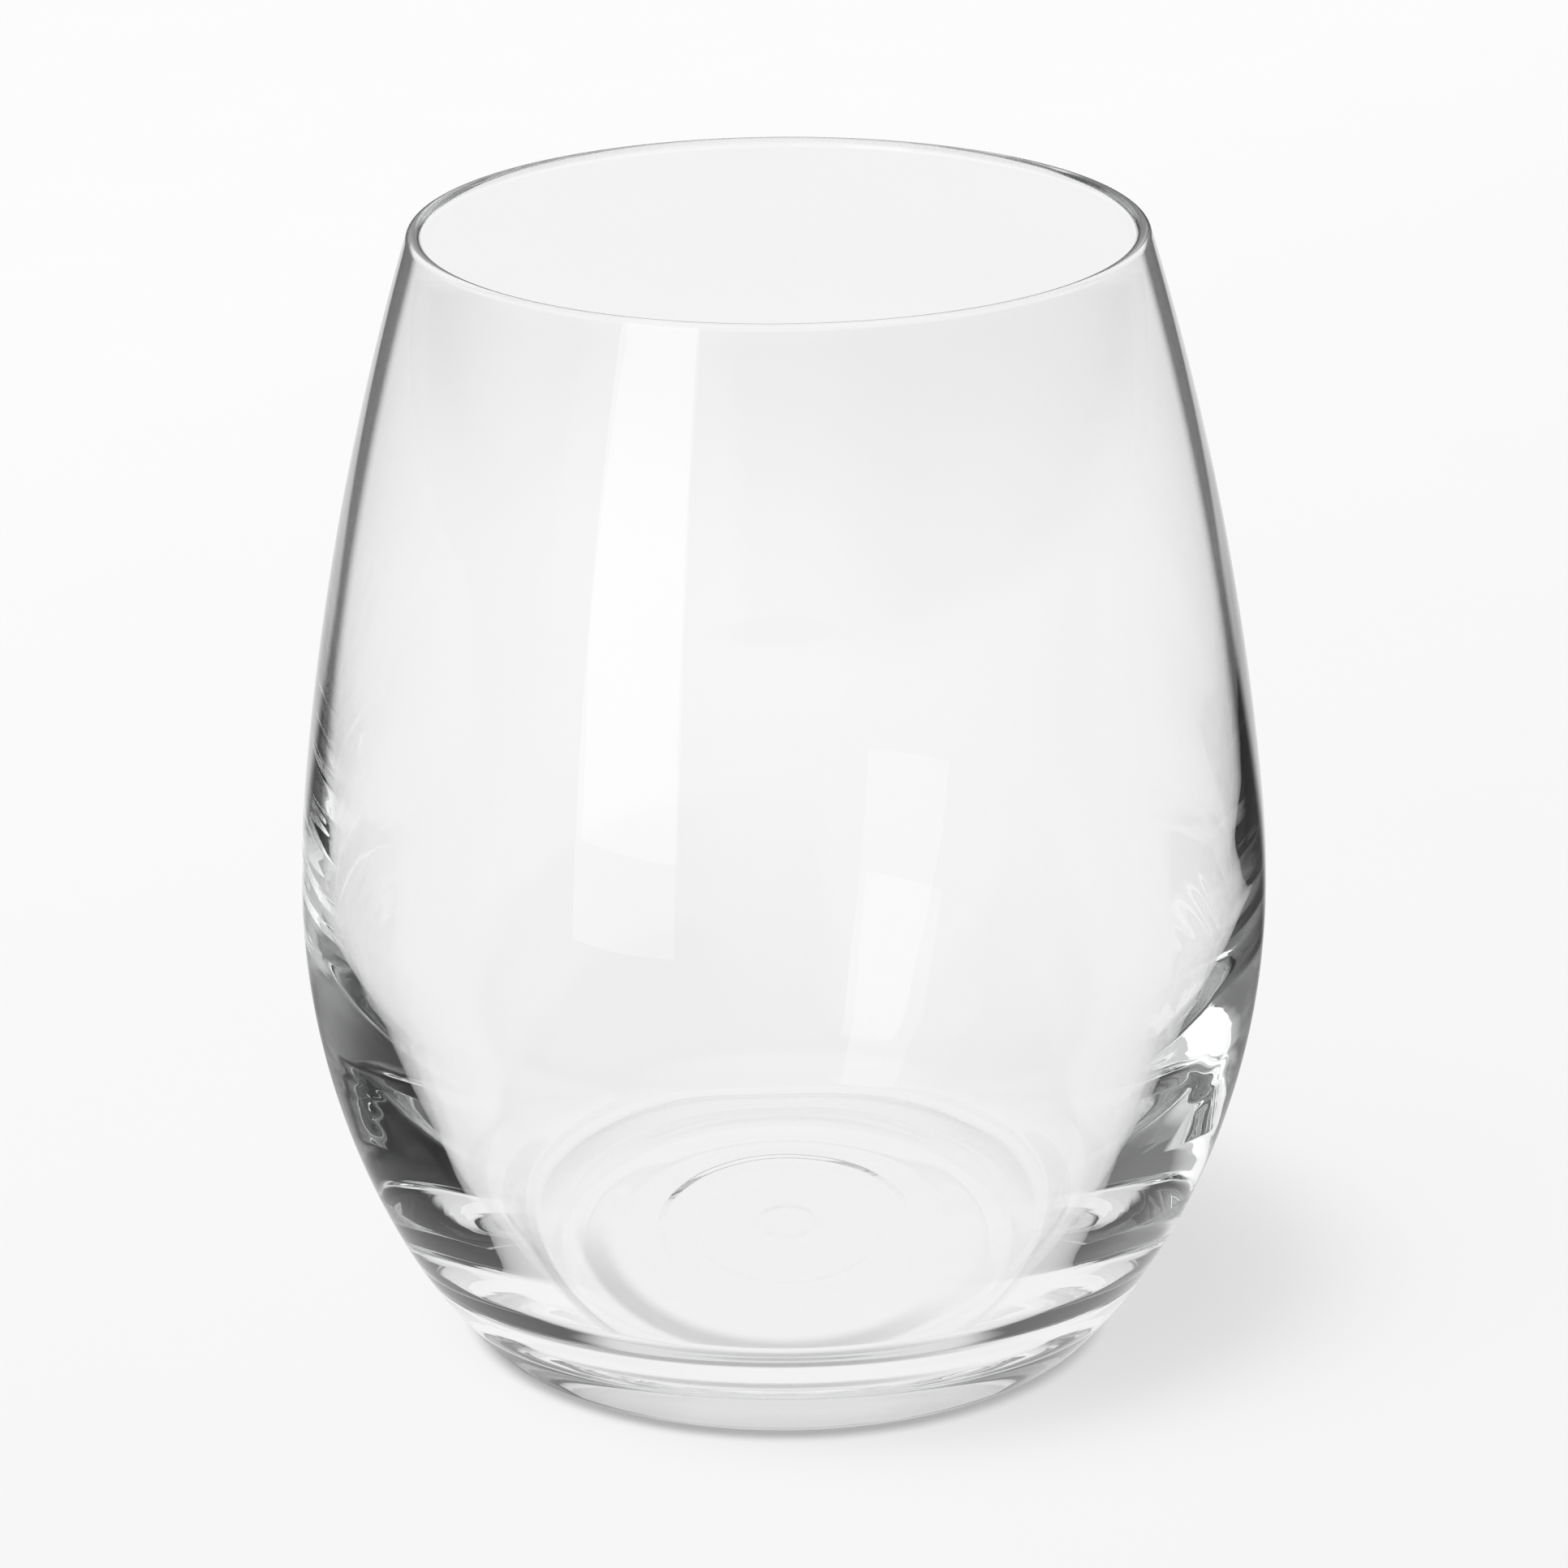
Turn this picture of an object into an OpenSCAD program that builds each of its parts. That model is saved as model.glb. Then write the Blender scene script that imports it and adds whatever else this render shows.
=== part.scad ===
// Stemless wine glass, blown in one piece from clear glass.
// The outline is a chain of arcs, each tangent to the next, turned about the Z axis.
// Millimetres, +Z up. The origin is on the axis, at the plane that the foot ring stands on.

/* [Outside] */
// Height from the table to the top of the lip
height = 108.6; // [95:0.1:125]
// Widest diameter of the bowl
belly_d = 92; // [84:0.5:100]
// Height of the widest place
belly_z = 44; // [38:0.5:50]
// Radius of the curve just above the widest place
belly_curve = 94; // [70:1:120]
// Angle turned by that curve before the straighter side begins
belly_turn = 5.9; // [3:0.1:8]
// Radius of the curve below the widest place
lower_curve = 72; // [66:1:80]
// Angle turned by the lower curve before the heel begins
lower_turn = 27; // [20:0.5:32]
// Diameter at which the heel would meet the table if it were sharp
heel_d = 60; // [54:0.5:66]
// Radius that rounds the heel into the foot ring
heel_round = 4; // [2:0.1:6]

/* [Lip] */
// Diameter of the lip at the middle of its wall
lip_d = 67.4; // [60:0.1:74]
// Thickness of the lip, rounded over its whole width
lip_t = 1.5; // [1:0.05:2.2]

/* [Inside] */
// Wall at the widest place of the inside
belly_wall = 2.35; // [1.8:0.05:3.2]
// How far the widest place of the inside lies above that of the outside
inside_lift = 3.1; // [1:0.1:6]
// Radius of the inside curve just above its widest place
inside_belly_curve = 154; // [110:1:180]
// Angle turned by that curve before the inside of the straighter side begins
inside_belly_turn = 5.4; // [3.5:0.1:6.5]
// Radius of the inside shoulder, where the wall starts to thicken
shoulder_curve = 40; // [25:1:70]
// Angle turned by the shoulder before the lower wall begins
shoulder_turn = 10.8; // [6:0.1:14]
// Radius of the inside of the lower wall
inside_lower_curve = 77; // [68:1:90]
// Radius between the inside wall and the floor
floor_corner = 14; // [9:0.5:24]
// Radius of the dished floor
floor_dish = 420; // [150:5:700]
// Thickness of the base under the dish, measured on the axis
base_t = 4.8; // [3:0.1:6.5]

/* [Floor rise] */
// Height of the low rise at the middle of the floor
rise_h = 0.5; // [0.2:0.05:0.9]
// Radius of the top of the rise
rise_curve = 40; // [25:1:60]
// Radius that runs the rise out into the dish
rise_runout = 30; // [15:1:45]

/* [Underside] */
// Width of the flat ring that the glass stands on
foot_ring_w = 4; // [2.5:0.1:7]
// Radius between the foot ring and the push-up
foot_ring_round = 2.5; // [1:0.1:4]
// Height of the push-up at the middle of the underside
push_up = 0.6; // [0.4:0.1:2.5]
// Diameter of the ring left by the bottom plate of the mould
mould_ring_d = 27; // [20:0.5:36]
// Step up at the mould ring
mould_step = 0.25; // [0.1:0.05:0.5]
// Width over which that step slopes
mould_slope_w = 0.5; // [0.2:0.1:1.5]

/* [Hidden] */
clear_glass = [0.86, 0.90, 0.90, 0.35];
round_steps = 180;
// Largest distance between an arc and the chords that draw it
chord_sag = 0.004;

// Direction at an angle from +X
function along(angle) = [cos(angle), sin(angle)];
// Radius of an arc that starts at one point with its centre in direction -normal and
// touches a small circle, which lies inside the arc for side = 1 and outside it for side = -1
function touching_radius(start, normal, small_c, small_r, side) =
    let (gap = small_c - start)
    (small_r * small_r - gap * gap) / (2 * (gap * normal + side * small_r));
// Radius of an arc that starts at one point with its centre in direction -normal and ends at another,
// negative where the arc has to be hollow to get there
function ending_radius(start, normal, end) =
    let (gap = end - start)
    -(gap * gap) / (2 * (gap * normal));
// Meeting point of two circles, the one further from the axis
function meeting(c1, r1, c2, r2) =
    let (
        apart = c2 - c1,
        gap = norm(apart),
        unit = apart / gap,
        near = (r1 * r1 - r2 * r2 + gap * gap) / (2 * gap),
        off = sqrt(r1 * r1 - near * near),
        foot = c1 + near * unit,
        a = foot + off * [unit.y, -unit.x],
        b = foot - off * [unit.y, -unit.x]
    )
    a.x > b.x ? a : b;

// Lip
lip_r = lip_t / 2;
lip_c = [lip_d / 2, height - lip_r];

// Outside: belly curve, side, lower curve, heel and its rounding.
// The heel bulges on this glass; it turns hollow where a narrow belly meets a wide foot.
belly_r = belly_d / 2;
belly_c = [belly_r - belly_curve, belly_z];
side_start = belly_c + belly_curve * along(belly_turn);
side_curve = touching_radius(side_start, along(belly_turn), lip_c, lip_r, 1);
side_c = side_start - side_curve * along(belly_turn);
lower_c = [belly_r - lower_curve, belly_z];
heel_start = lower_c + lower_curve * along(-lower_turn);
heel_curve = ending_radius(heel_start, along(-lower_turn), [heel_d / 2, 0]);
heel_side = sign(heel_curve);
heel_c = heel_start - heel_curve * along(-lower_turn);
heel_reach = heel_curve - heel_round;
round_out = heel_side * sqrt(heel_reach ^ 2 - (heel_c.y - heel_round) ^ 2);
round_c = [heel_c.x + round_out, heel_round];

// Inside: belly curve, side, shoulder, lower wall, floor corner and dish
inside_r = belly_r - belly_wall;
inside_z = belly_z + inside_lift;
inside_belly_c = [inside_r - inside_belly_curve, inside_z];
inside_side_start = inside_belly_c + inside_belly_curve * along(inside_belly_turn);
inside_side_curve = touching_radius(inside_side_start, along(inside_belly_turn), lip_c, lip_r, -1);
inside_side_c = inside_side_start - inside_side_curve * along(inside_belly_turn);
shoulder_c = [inside_r - shoulder_curve, inside_z];
shoulder_end = shoulder_c + shoulder_curve * along(-shoulder_turn);
inside_lower_c = shoulder_end - inside_lower_curve * along(-shoulder_turn);
floor_z = push_up + base_t;
dish_c = [0, floor_z + floor_dish];
corner_c = meeting(inside_lower_c, inside_lower_curve - floor_corner, dish_c, floor_dish - floor_corner);

// Rise at the middle of the floor, run out into the dish by a hollow ring
rise_c = [0, floor_z + rise_h - rise_curve];
runout_c = meeting(rise_c, rise_curve + rise_runout, dish_c, floor_dish - rise_runout);

// Underside: foot ring, its inner rounding and the push-up
foot_inner_r = round_c.x - foot_ring_w;
push_curve = (foot_inner_r ^ 2 - foot_ring_round ^ 2 + (push_up - foot_ring_round) ^ 2)
    / (2 * push_up);
push_c = [0, push_up - push_curve];
ring_round_c = [foot_inner_r, foot_ring_round];

// Points of an arc between two angles, without its first point
function arc(centre, radius, from, to) =
    let (
        widest = 2 * acos(1 - chord_sag / abs(radius)),
        steps = ceil(abs(to - from) / widest)
    )
    [for (i = [1 : steps]) centre + radius * along(from + (to - from) * i / steps)];
// Angle of the direction from one point to another
function heading(from, to) = atan2(to.y - from.y, to.x - from.x);

// Hollow under the base, from the axis out to the heel: mould plate, push-up, foot ring
function underside() =
    let (
        plate_c = push_c + [0, mould_step],
        mould_r = mould_ring_d / 2,
        plate_heading = acos((mould_r - mould_slope_w) / push_curve),
        mould_heading = acos(mould_r / push_curve)
    )
    concat(
        [plate_c + [0, push_curve]],
        arc(plate_c, push_curve, 90, plate_heading),
        [push_c + push_curve * along(mould_heading)],
        arc(push_c, push_curve, mould_heading, heading(push_c, ring_round_c)),
        arc(ring_round_c, foot_ring_round, heading(ring_round_c, push_c), -90),
        [[round_c.x, 0]]
    );

// Outside, from the foot ring up to the lip
function outside() =
    let (heel_heading = heel_side > 0 ? heading(heel_c, round_c) : heading(round_c, heel_c))
    concat(
        arc(round_c, heel_round, -90, heel_heading),
        arc(heel_c, heel_curve, heel_heading, -lower_turn),
        arc(lower_c, lower_curve, -lower_turn, 0),
        arc(belly_c, belly_curve, 0, belly_turn),
        arc(side_c, side_curve, belly_turn, heading(side_c, lip_c))
    );

// Lip, over the top of the wall
function lip() =
    concat(
        arc(lip_c, lip_r, heading(side_c, lip_c), 90),
        arc(lip_c, lip_r, 90, 180 + heading(inside_side_c, lip_c))
    );

// Inside, from the lip down to the floor
function inside() =
    let (
        corner_heading = heading(inside_lower_c, corner_c),
        dish_heading = heading(dish_c, corner_c)
    )
    concat(
        arc(inside_side_c, inside_side_curve, heading(inside_side_c, lip_c), inside_belly_turn),
        arc(inside_belly_c, inside_belly_curve, inside_belly_turn, 0),
        arc(shoulder_c, shoulder_curve, 0, -shoulder_turn),
        arc(inside_lower_c, inside_lower_curve, -shoulder_turn, corner_heading),
        arc(corner_c, floor_corner, corner_heading, dish_heading)
    );

// Floor of the bowl, in to the axis: dish, hollow ring and the low rise
function bowl_floor() =
    let (runout_heading = heading(dish_c, runout_c))
    concat(
        arc(dish_c, floor_dish, heading(dish_c, corner_c), runout_heading),
        arc(runout_c, rise_runout, runout_heading, heading(runout_c, rise_c)),
        arc(rise_c, rise_curve, heading(rise_c, runout_c), 90)
    );

module glass_body() {
    color(clear_glass)
        rotate_extrude($fn = round_steps)
            polygon(concat(underside(), outside(), lip(), inside(), bowl_floor()));
}

glass_body();
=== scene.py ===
import math

import bpy
from mathutils import Matrix, Vector


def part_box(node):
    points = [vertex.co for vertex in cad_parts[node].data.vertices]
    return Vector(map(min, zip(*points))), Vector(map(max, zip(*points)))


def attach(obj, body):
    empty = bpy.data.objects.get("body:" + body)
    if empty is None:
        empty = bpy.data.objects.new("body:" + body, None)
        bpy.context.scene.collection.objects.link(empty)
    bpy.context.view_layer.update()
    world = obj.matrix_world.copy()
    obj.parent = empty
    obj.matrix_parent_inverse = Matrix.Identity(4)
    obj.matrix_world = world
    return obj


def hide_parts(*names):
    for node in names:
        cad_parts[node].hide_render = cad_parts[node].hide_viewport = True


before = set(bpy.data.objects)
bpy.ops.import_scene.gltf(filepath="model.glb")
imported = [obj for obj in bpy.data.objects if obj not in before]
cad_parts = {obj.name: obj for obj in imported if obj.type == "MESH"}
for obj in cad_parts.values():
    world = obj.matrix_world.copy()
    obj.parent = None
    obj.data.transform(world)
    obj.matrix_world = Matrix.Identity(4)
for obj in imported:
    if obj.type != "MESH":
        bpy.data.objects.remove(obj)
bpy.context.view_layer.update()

# The glass: one gob of clear soda-lime glass, blown into a turning mould, so its wall is thin at the
# lip and heavy at the foot. The lip is cut off hot and melted round in a flame. The plate under the
# mould leaves faint rings in the push-up, and the blown inside keeps slow waves that no mould touched.
MM = 0.001
_, glass_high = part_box("glass_body")
height = glass_high.z
belly_r = glass_high.x
belly_z = 44 * MM
belly_curve = 94 * MM
belly_turn = 5.9
lower_curve = 72 * MM
lower_turn = 27
heel_r = 30 * MM
heel_round = 4 * MM
lip_middle_r = 33.7 * MM
lip_round = 0.75 * MM
belly_wall = 2.35 * MM
inside_lift = 3.1 * MM
inside_belly_curve = 154 * MM
inside_belly_turn = 5.4
shoulder_curve = 40 * MM
shoulder_turn = 10.8
inside_lower_curve = 77 * MM
floor_corner = 14 * MM
floor_dish = 420 * MM
base_t = 4.8 * MM
rise_h = 0.5 * MM
rise_curve = 40 * MM
rise_runout = 30 * MM
foot_ring_w = 4 * MM
foot_ring_round = 2.5 * MM
push_up = 0.6 * MM
mould_ring_r = 13.5 * MM
mould_step = 0.13 * MM
mould_slope_w = 0.6 * MM


def along(angle):
    return Vector((math.cos(math.radians(angle)), math.sin(math.radians(angle))))


def heading(start, end):
    return math.degrees(math.atan2(end.y - start.y, end.x - start.x))


def touching_radius(start, normal, small_c, small_r, side):
    """Radius of an arc that leaves start square to normal and touches a small circle."""
    gap = small_c - start
    return (small_r ** 2 - gap.length_squared) / (2 * (gap.dot(normal) + side * small_r))


def ending_radius(start, normal, end):
    """Radius of an arc that leaves start square to normal and ends at another point."""
    gap = end - start
    return -gap.length_squared / (2 * gap.dot(normal))


def meeting(c1, r1, c2, r2):
    """Meeting point of two circles, the one further from the axis of the glass."""
    apart = c2 - c1
    unit = apart.normalized()
    near = (r1 ** 2 - r2 ** 2 + apart.length_squared) / (2 * apart.length)
    off = math.sqrt(r1 ** 2 - near ** 2) * Vector((unit.y, -unit.x))
    return max(c1 + near * unit + off, c1 + near * unit - off, key=lambda point: point.x)


# Outside of the wall, from the widest place up to the lip and down to the heel
lip_c = Vector((lip_middle_r, height - lip_round))
belly_c = Vector((belly_r - belly_curve, belly_z))
side_start = belly_c + belly_curve * along(belly_turn)
side_curve = touching_radius(side_start, along(belly_turn), lip_c, lip_round, 1)
side_c = side_start - side_curve * along(belly_turn)
lower_c = Vector((belly_r - lower_curve, belly_z))
heel_start = lower_c + lower_curve * along(-lower_turn)
heel_curve = ending_radius(heel_start, along(-lower_turn), Vector((heel_r, 0)))
heel_c = heel_start - heel_curve * along(-lower_turn)
heel_out = math.sqrt((heel_curve - heel_round) ** 2 - (heel_c.y - heel_round) ** 2)
round_c = Vector((heel_c.x + heel_out, heel_round))

# Inside of the wall, and the floor of the bowl with its low rise
inside_r = belly_r - belly_wall
inside_z = belly_z + inside_lift
inside_belly_c = Vector((inside_r - inside_belly_curve, inside_z))
inside_side_start = inside_belly_c + inside_belly_curve * along(inside_belly_turn)
inside_side_curve = touching_radius(
    inside_side_start, along(inside_belly_turn), lip_c, lip_round, -1
)
inside_side_c = inside_side_start - inside_side_curve * along(inside_belly_turn)
shoulder_c = Vector((inside_r - shoulder_curve, inside_z))
shoulder_end = shoulder_c + shoulder_curve * along(-shoulder_turn)
inside_lower_c = shoulder_end - inside_lower_curve * along(-shoulder_turn)
floor_z = push_up + base_t
dish_c = Vector((0, floor_z + floor_dish))
corner_c = meeting(
    inside_lower_c, inside_lower_curve - floor_corner, dish_c, floor_dish - floor_corner
)
rise_c = Vector((0, floor_z + rise_h - rise_curve))
runout_c = meeting(rise_c, rise_curve + rise_runout, dish_c, floor_dish - rise_runout)

# Underside, with the push-up, the ring of the mould plate and the foot ring
foot_inner_r = round_c.x - foot_ring_w
push_curve = (
    foot_inner_r ** 2 - foot_ring_round ** 2 + (push_up - foot_ring_round) ** 2
) / (2 * push_up)
push_c = Vector((0, push_up - push_curve))
plate_c = push_c + Vector((0, mould_step))
ring_round_c = Vector((foot_inner_r, foot_ring_round))
plate_heading = math.degrees(math.acos((mould_ring_r - mould_slope_w) / push_curve))
mould_heading = math.degrees(math.acos(mould_ring_r / push_curve))
heel_heading = heading(heel_c, round_c)
lip_heading = heading(side_c, lip_c)
inside_lip_heading = heading(inside_side_c, lip_c)
corner_heading = heading(inside_lower_c, corner_c)
dish_heading = heading(dish_c, corner_c)
runout_heading = heading(dish_c, runout_c)

# Each arc as centre, radius, first angle and last angle, in order from the axis under the base,
# out and up to the lip, then down the inside to the axis again
outer_arcs = [
    (plate_c, push_curve, 90, plate_heading),
    (push_c, push_curve, mould_heading, heading(push_c, ring_round_c)),
    (ring_round_c, foot_ring_round, heading(ring_round_c, push_c), -90),
    (round_c, heel_round, -90, heel_heading),
    (heel_c, heel_curve, heel_heading, -lower_turn),
    (lower_c, lower_curve, -lower_turn, 0),
    (belly_c, belly_curve, 0, belly_turn),
    (side_c, side_curve, belly_turn, lip_heading),
    (lip_c, lip_round, lip_heading, 90),
]
inner_arcs = [
    (lip_c, lip_round, 90, 180 + inside_lip_heading),
    (inside_side_c, inside_side_curve, inside_lip_heading, inside_belly_turn),
    (inside_belly_c, inside_belly_curve, inside_belly_turn, 0),
    (shoulder_c, shoulder_curve, 0, -shoulder_turn),
    (inside_lower_c, inside_lower_curve, -shoulder_turn, corner_heading),
    (corner_c, floor_corner, corner_heading, dish_heading),
    (dish_c, floor_dish, dish_heading, runout_heading),
    (runout_c, rise_runout, runout_heading, heading(runout_c, rise_c)),
    (rise_c, rise_curve, heading(rise_c, runout_c), 90),
]
wide_step = 1.5 * MM
wave_step = 0.28 * MM
ring_step = 0.35 * MM
widest_turn = 6
same_point = 1e-7


def arc_points(centre, radius, first, last):
    """Points of an arc, closer on the waved lower wall and where the plate left its rings."""
    step = wide_step
    if centre in (inside_belly_c, shoulder_c, inside_lower_c):
        step = wave_step
    if centre in (plate_c, push_c):
        step = ring_step
    steps = math.ceil(max(
        radius * math.radians(abs(last - first)) / step,
        abs(last - first) / widest_turn,
    ))
    return [centre + radius * along(first + (last - first) * i / steps) for i in range(steps + 1)]


def outline_points(arcs):
    """The points of a chain of arcs, each shared point once."""
    points = []
    for arc in arcs:
        for point in arc_points(*arc):
            if not points or (point - points[-1]).length > same_point:
                points.append(point)
    return points


# Rings turned into the mould plate, as distance from the axis, half width and depth,
# and the middle of the plate, which stands a little lower than the ring round it
plate_rings = (
    (2.6 * MM, 0.7 * MM, 0.1 * MM),
    (16.6 * MM, 1.0 * MM, 0.04 * MM),
    (20.6 * MM, 1.2 * MM, 0.035 * MM),
)
boss_r = 10 * MM
boss_drop = 0.12 * MM
boss_slope_w = 1.0 * MM
plate_points = len(arc_points(*outer_arcs[0]))
push_up_points = plate_points + len(arc_points(*outer_arcs[1]))
outer_points = outline_points(outer_arcs)
for point in outer_points[:push_up_points]:
    for ring_r, ring_w, ring_depth in plate_rings:
        point.y += ring_depth * math.exp(-((point.x - ring_r) / ring_w) ** 2)
    boss_share = min(max((boss_r - point.x) / boss_slope_w + 0.5, 0), 1)
    point.y -= boss_drop * boss_share ** 2 * (3 - 2 * boss_share)
outline = outer_points + outline_points(inner_arcs)[1:]
outline[0].x = 0
outline[-1].x = 0
outline_mesh = bpy.data.meshes.new("glass outline")
outline_mesh.from_pydata(
    [(point.x, 0, point.y) for point in outline],
    [(i, i + 1) for i in range(len(outline) - 1)],
    [],
)

# The blown inside starts a little below the top of the lip, which the flame has smoothed
lip_points = 8
inside_share = outline_mesh.attributes.new("inside", "FLOAT", "POINT")
plate_share = outline_mesh.attributes.new("plate", "FLOAT", "POINT")
for i in range(len(outline)):
    inside_share.data[i].value = 1.0 if i > len(outer_points) + lip_points else 0.0
    plate_share.data[i].value = 1.0 if i < plate_points else 0.0


def add_node(tree, kind, settings=None, **inputs):
    """A node with its settings, its plain values and its links, given by input name or number."""
    node = tree.nodes.new(kind)
    for name, value in (settings or {}).items():
        setattr(node, name, value)
    for name, value in inputs.items():
        socket = node.inputs[int(name[1:]) if name[0] == "_" else name.replace("_", " ")]
        if isinstance(value, bpy.types.NodeSocket):
            tree.links.new(value, socket)
        else:
            socket.default_value = value
    return node


def arithmetic(tree, operation, *values):
    """The result of one step of arithmetic."""
    inputs = {f"_{i}": value for i, value in enumerate(values)}
    return add_node(tree, "ShaderNodeMath", {"operation": operation}, **inputs).outputs[0]


def vector_step(tree, operation, *vectors):
    """The result of one step on vectors, which is a number for a product, distance or length."""
    inputs = {f"_{i}": vector for i, vector in enumerate(vectors)}
    outputs = add_node(tree, "ShaderNodeVectorMath", {"operation": operation}, **inputs).outputs
    return outputs["Value" if operation in ("DOT_PRODUCT", "DISTANCE", "LENGTH") else "Vector"]


def ramp(tree, value, start=0.0, end=1.0, first=0.0, last=1.0, way="LINEAR"):
    """What goes from first to last while value goes from start to end, and stays there beyond."""
    return add_node(
        tree, "ShaderNodeMapRange", {"interpolation_type": way},
        Value=value, From_Min=start, From_Max=end, To_Min=first, To_Max=last,
    ).outputs[0]


def ease(tree, value, start, end, first=0.0, last=1.0):
    """A ramp that sets off and arrives gently."""
    return ramp(tree, value, start, end, first, last, "SMOOTHSTEP")


# Clear glass: almost colourless, with a breath of haze from washing and of unevenness from the flame.
# Its base colour is painted dark where the outer skin is seen edge-on. This painted shade stands in for
# the dark surroundings that glass bends into view at its edges. The heavy lower wall and the blown
# inside are left unpainted.
most_haze = 0.006
grazing_painted_tone = 0.08
heavy_wall_top = 58 * MM
heavy_wall_full = 46 * MM
glass_finish = bpy.data.materials.new("clear glass")
glass_finish.use_nodes = True
finish = glass_finish.node_tree
finish.nodes.clear()
on_glass = add_node(finish, "ShaderNodeTexCoord").outputs["Object"]
flame_waves = add_node(
    finish, "ShaderNodeTexNoise", Vector=on_glass, Scale=70.0, Detail=1.0, Roughness=0.4
).outputs[0]
flame_bump = add_node(
    finish, "ShaderNodeBump", Strength=0.02, Distance=0.2 * MM, Height=flame_waves
).outputs[0]
wash_haze = add_node(
    finish, "ShaderNodeTexNoise", Vector=on_glass, Scale=110.0, Detail=4.0, Roughness=0.6
).outputs[0]
haze_level = ramp(finish, wash_haze, start=0.45, end=0.8, first=0.0, last=most_haze)
# Painted shade: the colour goes dark where the surface is seen edge-on
edge_on = add_node(finish, "ShaderNodeLayerWeight", Blend=0.5).outputs["Facing"]
painted_edge_shade = ease(finish, edge_on, start=0.68, end=0.75, first=1.0, last=grazing_painted_tone)
blown_inside = add_node(finish, "ShaderNodeAttribute", {"attribute_name": "inside"}).outputs["Fac"]
glass_z = add_node(finish, "ShaderNodeSeparateXYZ", Vector=on_glass).outputs["Z"]
heavy_wall = ease(finish, glass_z, start=heavy_wall_top, end=heavy_wall_full)
edge_unpainted_share = arithmetic(finish, "MAXIMUM", heavy_wall, blown_inside)
glass_tone_with_painted_edges = arithmetic(finish, "MAXIMUM", painted_edge_shade, edge_unpainted_share)
glass_shader = add_node(
    finish, "ShaderNodeBsdfPrincipled",
    Base_Color=glass_tone_with_painted_edges,
    Roughness=haze_level,
    IOR=1.52,
    Transmission_Weight=1.0,
    Normal=flame_bump,
)
glass_depth = add_node(
    finish, "ShaderNodeVolumeAbsorption", Color=(0.88, 0.9, 0.89, 1.0), Density=4.0
)
add_node(
    finish, "ShaderNodeOutputMaterial",
    Surface=glass_shader.outputs[0],
    Volume=glass_depth.outputs[0],
)

# The outline is turned about the axis, then the waves of the blown inside are raised on it
turning = bpy.data.node_groups.new("turn the blown glass", "GeometryNodeTree")
turning.interface.new_socket("Outline", in_out="INPUT", socket_type="NodeSocketGeometry")
turning_sizes = {}
for name, kind, value in (
    ("Turns", "NodeSocketInt", 210),
    ("Slow wave depth", "NodeSocketFloat", 0.03 * MM),
    ("Slow wave length", "NodeSocketFloat", 9 * MM),
    ("Ripple depth", "NodeSocketFloat", 0.022 * MM),
    ("Ripple length", "NodeSocketFloat", 2.2 * MM),
    ("Ripples end at", "NodeSocketFloat", 62 * MM),
    ("Mould plate tilt", "NodeSocketFloat", 0.0075),
    ("Seed", "NodeSocketFloat", 4.0),
    ("Finish", "NodeSocketMaterial", glass_finish),
):
    socket = turning.interface.new_socket(name, in_out="INPUT", socket_type=kind)
    turning_sizes[socket.identifier] = value
turning.interface.new_socket("Glass", in_out="OUTPUT", socket_type="NodeSocketGeometry")
given = add_node(turning, "NodeGroupInput").outputs

# A sheet with a column for each point of the outline and a row for each turn
outline_size = add_node(turning, "GeometryNodeAttributeDomainSize", Geometry=given["Outline"])
rows = arithmetic(turning, "ADD", given["Turns"], 1.0)
sheet = add_node(
    turning, "GeometryNodeMeshGrid",
    Vertices_X=outline_size.outputs["Point Count"],
    Vertices_Y=rows,
).outputs["Mesh"]
index = add_node(turning, "GeometryNodeInputIndex").outputs[0]
outline_index = arithmetic(turning, "FLOOR", arithmetic(turning, "DIVIDE", index, rows))
row_index = arithmetic(turning, "MODULO", index, rows)
turn_share = arithmetic(turning, "DIVIDE", row_index, given["Turns"])
turn_angle = arithmetic(turning, "MULTIPLY", turn_share, -2 * math.pi)
place = add_node(turning, "GeometryNodeInputPosition").outputs[0]


def mark(name):
    """A number kept on the points."""
    return add_node(
        turning, "GeometryNodeInputNamedAttribute", {"data_type": "FLOAT"}, Name=name
    ).outputs["Attribute"]


def from_outline(value, data_type):
    """A value at the point of the outline that each point of the sheet comes from."""
    return add_node(
        turning, "GeometryNodeSampleIndex", {"data_type": data_type, "domain": "POINT"},
        Geometry=given["Outline"], Value=value, Index=outline_index,
    ).outputs[0]


# The sheet is rolled up about the axis, with the mould plate set a little askew
plate_rise_way = (-0.7, 0.7, 0.0)
weld_distance = 0.0001 * MM
level_turn = add_node(
    turning, "ShaderNodeVectorRotate", {"rotation_type": "Z_AXIS"},
    Vector=from_outline(place, "FLOAT_VECTOR"), Angle=turn_angle,
).outputs[0]
plate_lift = vector_step(turning, "DOT_PRODUCT", level_turn, plate_rise_way)
plate_tilt = arithmetic(
    turning, "MULTIPLY", from_outline(mark("plate"), "FLOAT"), given["Mould plate tilt"]
)
tilt_height = arithmetic(turning, "MULTIPLY", plate_lift, plate_tilt)
tilt_offset = add_node(turning, "ShaderNodeCombineXYZ", Z=tilt_height).outputs[0]
turned_place = vector_step(turning, "ADD", level_turn, tilt_offset)
marked = add_node(
    turning, "GeometryNodeStoreNamedAttribute", {"data_type": "FLOAT", "domain": "POINT"},
    Geometry=sheet, Name="inside", Value=from_outline(mark("inside"), "FLOAT"),
).outputs[0]
turned = add_node(
    turning, "GeometryNodeSetPosition", Geometry=marked, Position=turned_place
).outputs[0]
closed = add_node(
    turning, "GeometryNodeMergeByDistance", Geometry=turned, Distance=weld_distance
).outputs[0]


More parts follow.
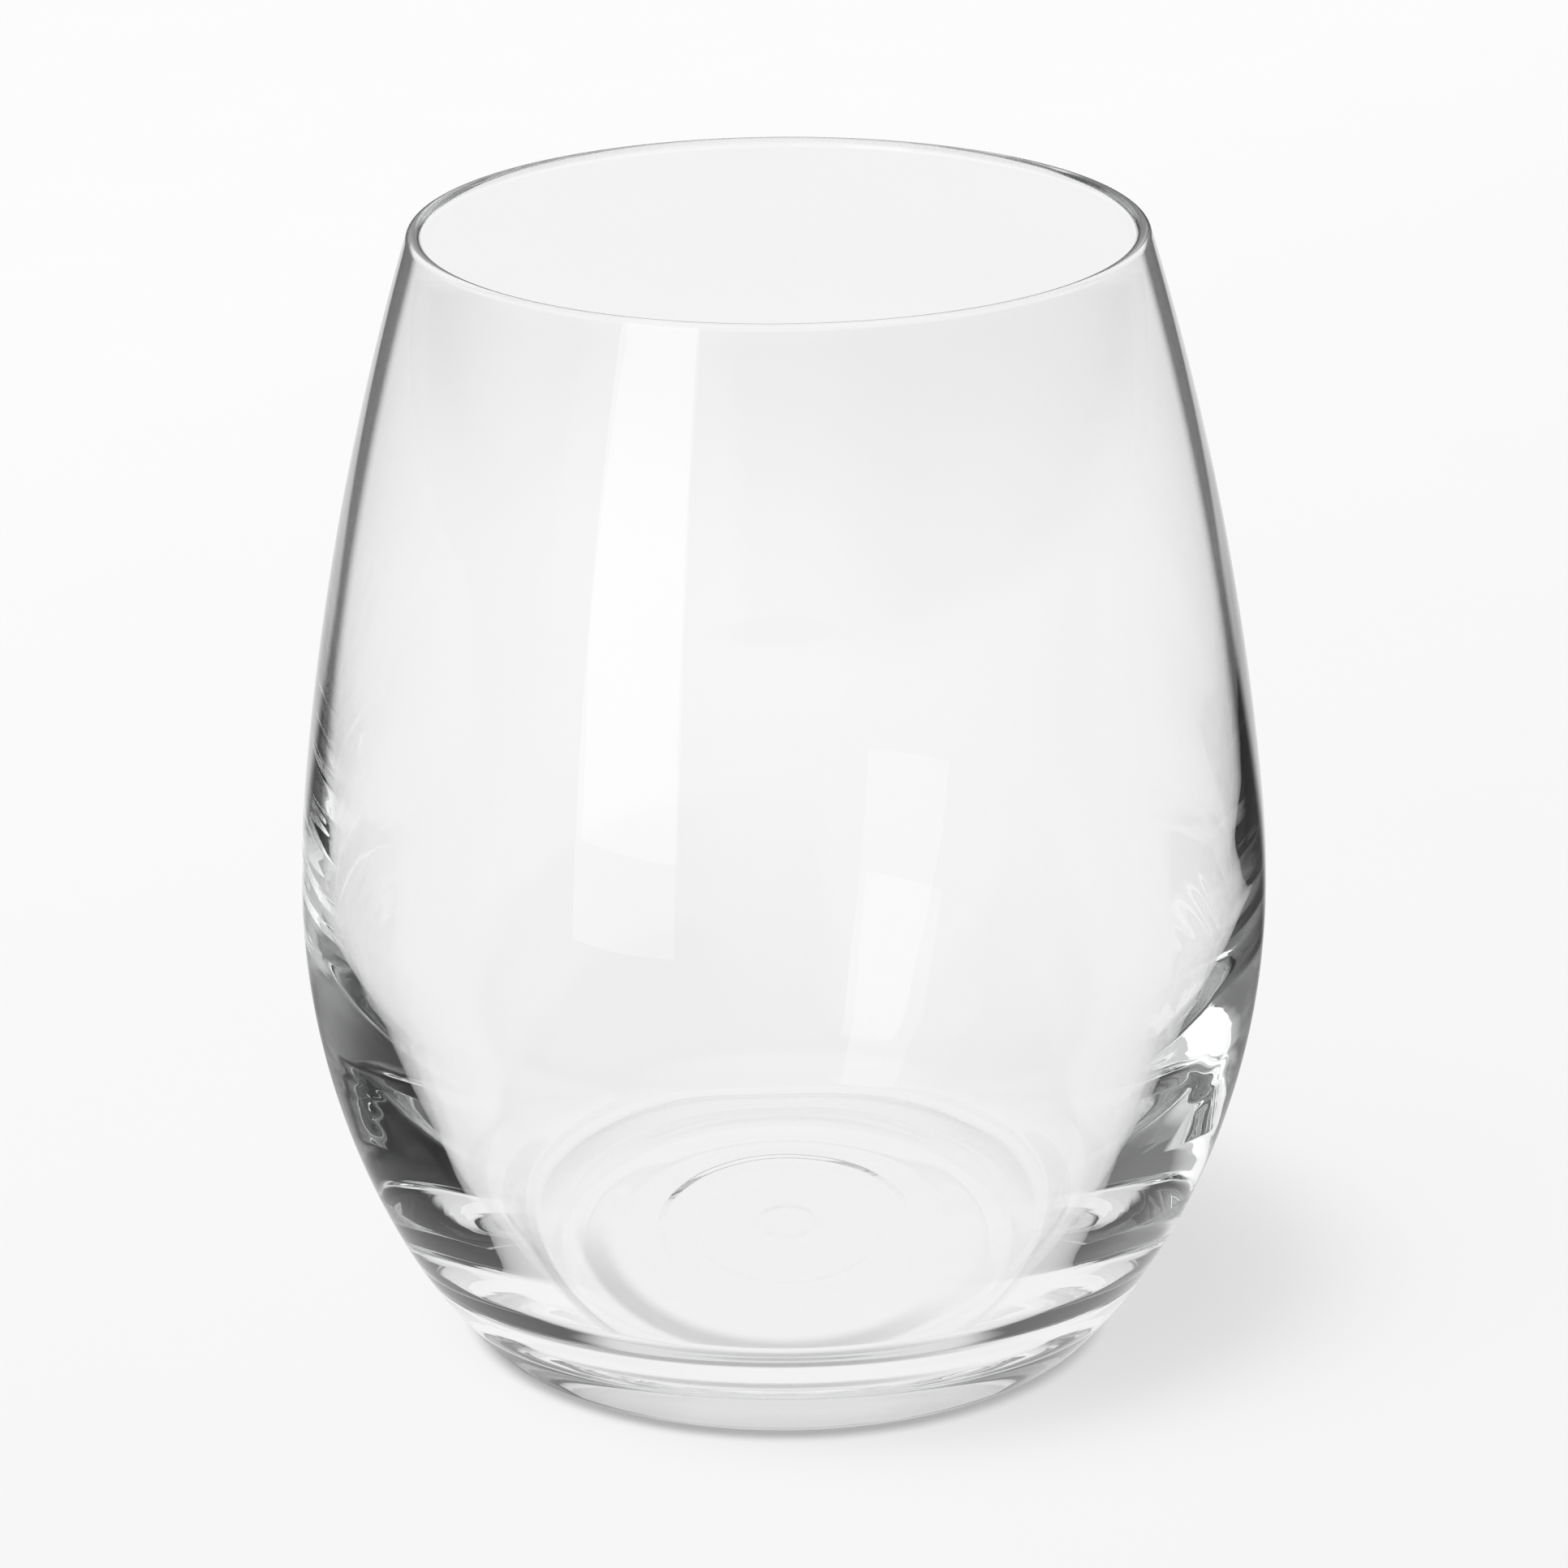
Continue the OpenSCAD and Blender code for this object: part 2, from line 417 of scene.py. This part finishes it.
def wave_height(where, length):
    """Waves of a given length, from -1 to 1."""
    scale = arithmetic(turning, "DIVIDE", 1.0, length)
    noise = add_node(
        turning, "ShaderNodeTexNoise", {"noise_dimensions": "4D"},
        Vector=where, W=given["Seed"], Scale=scale, Detail=0.0,
    ).outputs[0]
    return ramp(turning, noise, first=-1.0, last=1.0)


# Slow waves all over the blown inside, and ripples that run round the heavy lower wall.
# The ripples are strongest at the two sides, and both grow calm towards the floor.
ripple_stretch = (0.05, 0.05, 1.0)
ripples_full = 46 * MM
calm_floor, calm_end, calm_share = 10 * MM, 38 * MM, 0.15
side_from, side_full, ripple_elsewhere = 0.935, 0.985, 0.05
slow_height = wave_height(place, given["Slow wave length"])
slow_depth = arithmetic(turning, "MULTIPLY", slow_height, given["Slow wave depth"])
ripple_place = vector_step(turning, "MULTIPLY", place, ripple_stretch)
ripple_height = wave_height(ripple_place, given["Ripple length"])
place_z = add_node(turning, "ShaderNodeSeparateXYZ", Vector=place).outputs["Z"]
ripple_fade = ease(turning, place_z, start=given["Ripples end at"], end=ripples_full)
level_place = vector_step(turning, "MULTIPLY", place, (1.0, 1.0, 0.0))
level_way = vector_step(turning, "NORMALIZE", level_place)
way_x = add_node(turning, "ShaderNodeSeparateXYZ", Vector=level_way).outputs["X"]
way_across = arithmetic(turning, "ABSOLUTE", way_x)
side_share = ease(turning, way_across, side_from, side_full, first=ripple_elsewhere)
floor_fade = ease(turning, place_z, calm_floor, calm_end, first=calm_share)
ripple_place_share = arithmetic(turning, "MULTIPLY", side_share, floor_fade)
ripple_share = arithmetic(turning, "MULTIPLY", ripple_fade, ripple_place_share)
ripple_strength = arithmetic(turning, "MULTIPLY", ripple_share, given["Ripple depth"])
calm_depth = arithmetic(turning, "MULTIPLY", slow_depth, floor_fade)
wave_depth = arithmetic(turning, "MULTIPLY_ADD", ripple_height, ripple_strength, calm_depth)
inside_depth = arithmetic(turning, "MULTIPLY", wave_depth, mark("inside"))
outward = add_node(turning, "GeometryNodeInputNormal").outputs[0]
wave_offset = add_node(
    turning, "ShaderNodeVectorMath", {"operation": "SCALE"}, Vector=outward, Scale=inside_depth
).outputs[0]
waved = add_node(turning, "GeometryNodeSetPosition", Geometry=closed, Offset=wave_offset).outputs[0]
smooth = add_node(turning, "GeometryNodeSetShadeSmooth", Geometry=waved).outputs[0]
plain = add_node(turning, "GeometryNodeRealizeInstances", Geometry=smooth).outputs[0]
dressed = add_node(
    turning, "GeometryNodeSetMaterial", Geometry=plain, Material=given["Finish"]
).outputs[0]
add_node(turning, "NodeGroupOutput", Glass=dressed)

glass_outline = bpy.data.objects.new("glass outline", outline_mesh)
bpy.context.scene.collection.objects.link(glass_outline)
turn = glass_outline.modifiers.new("turn", "NODES")
turn.node_group = turning
for identifier, value in turning_sizes.items():
    turn[identifier] = value
turned_glass = glass_outline.evaluated_get(bpy.context.evaluated_depsgraph_get())
glass_mesh = bpy.data.meshes.new_from_object(turned_glass)
glass_mesh.name = "wine_glass"
bpy.data.objects.remove(glass_outline)
glass = bpy.data.objects.new("wine_glass", glass_mesh)
bpy.context.scene.collection.objects.link(glass)
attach(glass, "root")
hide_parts("glass_body")

# The table: a pale matt top that runs out into the pale room, so no edge shows behind the glass.
# It stands a hair below the foot ring, as glass does on a surface that is never quite flat.
table_gap = 0.06 * MM
table_half = 6.0
table_corners = ((-1, -1), (1, -1), (1, 1), (-1, 1))
table_mesh = bpy.data.meshes.new("table top")
table_mesh.from_pydata(
    [(sx * table_half, sy * table_half, -table_gap) for sx, sy in table_corners],
    [],
    [(0, 1, 2, 3)],
)
table = bpy.data.objects.new("table top", table_mesh)
bpy.context.scene.collection.objects.link(table)
table_finish = bpy.data.materials.new("pale table top")
table_finish.use_nodes = True
top = table_finish.node_tree
top.nodes.clear()
on_table = add_node(top, "ShaderNodeTexCoord").outputs["Object"]
table_place = add_node(top, "ShaderNodeSeparateXYZ", Vector=on_table).outputs
way_on_table = vector_step(top, "NORMALIZE", on_table)
table_ray = add_node(top, "ShaderNodeLightPath").outputs

# Its tone is painted to fall off from the far left to the near right, a painted light falloff, under a
# fine grain
far_tone = 0.97
near_tone = 0.912
grain_depth = 0.008
table_slant = arithmetic(top, "SUBTRACT", table_place["X"], table_place["Y"])
painted_falloff = ramp(top, table_slant, start=-0.44, end=0.14, first=far_tone, last=near_tone)
table_grain = add_node(top, "ShaderNodeTexNoise", Vector=on_table, Scale=40.0, Detail=3.0).outputs[0]
grained_tone = arithmetic(top, "MULTIPLY_ADD", table_grain, grain_depth, painted_falloff)

# Mirrored in the glass, the table is painted dark except in a strip behind it and in the part in front:
# a painted shade that only reflections show
mirror_painted_dark = 0.08
strip_softness = 0.02
strip_edge = ease(top, table_place["Y"], start=0.05, end=0.3, first=0.05, last=0.2)
table_across = arithmetic(top, "ABSOLUTE", table_place["X"])
out_of_strip = arithmetic(top, "SUBTRACT", table_across, strip_edge)
strip_painted_shade = ease(top, out_of_strip, -strip_softness, strip_softness, first=1.0, last=mirror_painted_dark)
table_way = add_node(top, "ShaderNodeSeparateXYZ", Vector=way_on_table).outputs["Y"]
front_unpainted = ease(top, table_way, start=-0.1, end=-1.0)
painted_mirror_shade = arithmetic(top, "MAXIMUM", strip_painted_shade, front_unpainted)
mirrored = arithmetic(
    top, "GREATER_THAN", table_ray["Is Glossy Ray"], table_ray["Is Transmission Ray"]
)
mirror_painted_field = ramp(top, mirrored, first=1.0, last=painted_mirror_shade)

# In and through the glass, it is painted a little darker far behind and close in front, a painted shade
painted_far_shade = ease(top, table_place["Y"], start=0.2, end=0.42, first=1.0, last=0.92)
painted_near_shade = ease(top, table_place["Y"], start=-0.04, end=-0.2, first=1.0, last=0.82)
painted_depth_shade = arithmetic(top, "MULTIPLY", painted_far_shade, painted_near_shade)
through_glass = arithmetic(
    top, "MAXIMUM", table_ray["Is Transmission Ray"], table_ray["Is Glossy Ray"]
)
glass_field = ramp(top, through_glass, first=1.0, last=painted_depth_shade)
seen_field = arithmetic(top, "MULTIPLY", glass_field, mirror_painted_field)
table_tone = arithmetic(top, "MULTIPLY", grained_tone, seen_field)

# The rest of its light comes from the lamps and carries their shadow, but where that shadow shows is
# painted by place: most of it under the foot, less beside the glass round a middle just to its right,
# and through the glass only in front, inside the foot ring and under the heel, where a contact shadow
# is painted
glass_share = 0.97
open_share = 0.965
painted_shade_middle = (15 * MM, 8 * MM, 0.0)
front_way = (-0.35, -0.94, 0.0)
from_shade = vector_step(top, "DISTANCE", on_table, painted_shade_middle)
painted_shade_share = ease(top, from_shade, start=22 * MM, end=54 * MM, first=0.72, last=open_share)
from_foot = vector_step(top, "LENGTH", on_table)
foot_share = ease(top, from_foot, start=29.5 * MM, end=32 * MM, first=0.3, last=painted_shade_share)
# Painted contact shadow, seen only through the glass: under the front of the heel and in a ring inside
# the foot ring
painted_heel_shadow = ease(top, from_foot, start=28.9 * MM, end=29.8 * MM, first=glass_share, last=0.3)
under_heel = ease(top, from_foot, start=30.8 * MM, end=33 * MM, first=painted_heel_shadow, last=glass_share)
painted_ring_shadow = ease(top, from_foot, start=18 * MM, end=20.5 * MM, first=1.0, last=0.5)
in_foot_ring = ease(top, from_foot, start=22 * MM, end=23.6 * MM, first=painted_ring_shadow, last=1.0)
painted_shadow_in_glass = arithmetic(top, "MULTIPLY", under_heel, in_foot_ring)
way_to_front = vector_step(top, "DOT_PRODUCT", way_on_table, front_way)
painted_front_shadow = ease(top, way_to_front, start=0.2, end=0.9, first=glass_share, last=painted_shadow_in_glass)
glow_share = ramp(top, through_glass, first=foot_share, last=painted_front_shadow)
table_shade = add_node(top, "ShaderNodeBsdfDiffuse", Color=table_tone).outputs[0]
table_glow = add_node(top, "ShaderNodeEmission", Color=table_tone, Strength=1.0).outputs[0]
table_shader = add_node(top, "ShaderNodeMixShader", _0=glow_share, _1=table_shade, _2=table_glow)
add_node(top, "ShaderNodeOutputMaterial", Surface=table_shader.outputs[0])
table_mesh.materials.append(table_finish)

# The soft box: a tall frame of white cloth, lit from inside, that stands on the table to the left of
# the camera. It is brightest in its lower half, and only the glass shows it.
box_distance = 0.33
box_middle = math.radians(-34.9)
box_width = 0.134
box_height = 0.46
box_strength = 1.5
box_corners = ((-1, 0), (1, 0), (1, 1), (-1, 1))
box_across = Vector((math.cos(box_middle), math.sin(box_middle), 0))
box_foot = box_distance * Vector((math.sin(box_middle), -math.cos(box_middle), 0))
box_mesh = bpy.data.meshes.new("tall soft box")
box_mesh.from_pydata(
    [box_foot + box_across * side * box_width / 2 + Vector((0, 0, up * box_height))
     for side, up in box_corners],
    [],
    [(0, 1, 2, 3)],
)
soft_box = bpy.data.objects.new("tall soft box", box_mesh)
bpy.context.scene.collection.objects.link(soft_box)
box_finish = bpy.data.materials.new("lit cloth")
box_finish.use_nodes = True
cloth = box_finish.node_tree
cloth.nodes.clear()
on_cloth = add_node(cloth, "ShaderNodeTexCoord").outputs["Object"]
cloth_z = add_node(cloth, "ShaderNodeSeparateXYZ", Vector=on_cloth).outputs["Z"]
cloth_light = ease(cloth, cloth_z, start=box_height, end=0.5 * box_height, last=box_strength)
cloth_glow = add_node(cloth, "ShaderNodeEmission", Strength=cloth_light)
add_node(cloth, "ShaderNodeOutputMaterial", Surface=cloth_glow.outputs[0])
box_mesh.materials.append(box_finish)
soft_box.visible_camera = False
soft_box.visible_diffuse = False
soft_box.visible_shadow = False

# The room: a pale sweep behind the glass, a broad light overhead and a window to the left of the
# camera, while the sides stay dark. Down at the table it takes the tone that the table has there.
room = bpy.data.worlds.new("pale room")
bpy.context.scene.world = room
room.use_nodes = True
walls = room.node_tree
walls.nodes.clear()
way = add_node(walls, "ShaderNodeTexCoord").outputs["Generated"]
way_part = add_node(walls, "ShaderNodeSeparateXYZ", Vector=way).outputs
ray = add_node(walls, "ShaderNodeLightPath").outputs
overhead_light = 0.8
sweep_light = 0.75
sweep_edge = math.radians(48)
sweep_full = math.radians(30)
window_way = (-0.6, -0.8, 0.0)
window_light = 0.8
overhead = ease(walls, way_part["Z"], start=0.82, end=0.95, last=overhead_light)
way_round = arithmetic(walls, "ARCTAN2", way_part["X"], way_part["Y"])
way_off = arithmetic(walls, "ABSOLUTE", way_round)
side_wall = ramp(walls, way_part["X"], start=-1.0, end=1.0, first=0.08, last=0.024)
low_wall = ease(walls, way_part["Z"], start=0.02, end=0.34, first=0.64, last=0.24)
way_to_window = vector_step(walls, "DOT_PRODUCT", way, window_way)
front_wall = ease(walls, way_to_window, start=0.25, end=0.8, first=side_wall, last=low_wall)
back_sweep = ease(walls, way_off, sweep_edge, sweep_full, first=front_wall, last=sweep_light)
window = ease(walls, way_to_window, start=0.8, end=0.92, last=window_light)
window_in_glass = arithmetic(walls, "MULTIPLY", window, ray["Is Transmission Ray"])
window_wall = arithmetic(walls, "MAXIMUM", back_sweep, window_in_glass)
room_light = arithmetic(walls, "MAXIMUM", window_wall, overhead)
rim_tone = 0.76
rim_shade = 0.02
in_mirror = arithmetic(walls, "GREATER_THAN", ray["Is Glossy Ray"], ray["Is Transmission Ray"])
mirrored_rim = ease(walls, way_part["Y"], start=-0.1, end=-1.0, first=rim_shade, last=rim_tone)
table_rim = ramp(walls, in_mirror, first=rim_tone, last=mirrored_rim)
rim_height = ramp(walls, in_mirror, first=0.1, last=0.24)
rim_light = ease(walls, way_part["Z"], start=0.0, end=rim_height, first=table_rim, last=room_light)
fill_strength = 0.12
backdrop_tone = 0.965
fill_light = ramp(walls, ray["Is Diffuse Ray"], first=rim_light, last=fill_strength)
seen_light = ramp(walls, ray["Is Camera Ray"], first=fill_light, last=backdrop_tone)
room_glow = add_node(
    walls, "ShaderNodeBackground", Color=(1.0, 1.0, 1.0, 1.0), Strength=seen_light
)
add_node(walls, "ShaderNodeOutputWorld", Surface=room_glow.outputs[0])

# The key light: a broad lamp high on the left of the camera, which throws the soft shadow on the table.
# The glass mirrors the soft box and the room, and not this lamp.
key = bpy.data.lights.new("key light", "SUN")
key.energy = 2.9
key.angle = math.radians(32)
key_lamp = bpy.data.objects.new("key light", key)
bpy.context.scene.collection.objects.link(key_lamp)
key_way = Vector((-0.33, -0.25, 0.91))
key_lamp.rotation_euler = (-key_way).to_track_quat("-Z", "Y").to_euler()
key_lamp.visible_glossy = False
key_lamp.visible_transmission = False

# The camera: a long lens looks down on the glass from in front, turned by a hair about its own axis.
# Light that runs round inside the heavy wall turns back many times before it comes out to it.
look_down = math.radians(19.754)
look_at = Vector((0, 0, 53.858 * MM))
camera_distance = 602.345 * MM
camera_side = 0.086 * MM
camera_roll = math.radians(-0.477)
film_width = 36
frame_pixels = 1932
focal_pixels = 7800
wall_bounces = 160
view_way = Vector((0, math.cos(look_down), -math.sin(look_down)))
camera_place = look_at - camera_distance * view_way + Vector((camera_side, 0, 0))
camera = bpy.data.cameras.new("camera")
camera.sensor_width = film_width
camera.lens = film_width * focal_pixels / frame_pixels
camera.clip_start = 0.01
camera_stand = bpy.data.objects.new("camera", camera)
bpy.context.scene.collection.objects.link(camera_stand)
camera_stand.matrix_world = (
    Matrix.Translation(camera_place)
    @ Matrix.Rotation(math.pi / 2 - look_down, 4, "X")
    @ Matrix.Rotation(camera_roll, 4, "Z")
)
bpy.context.scene.camera = camera_stand
bpy.context.scene.view_settings.view_transform = "Standard"
bpy.context.scene.cycles.max_bounces = wall_bounces
bpy.context.scene.cycles.glossy_bounces = wall_bounces
bpy.context.scene.cycles.transmission_bounces = wall_bounces
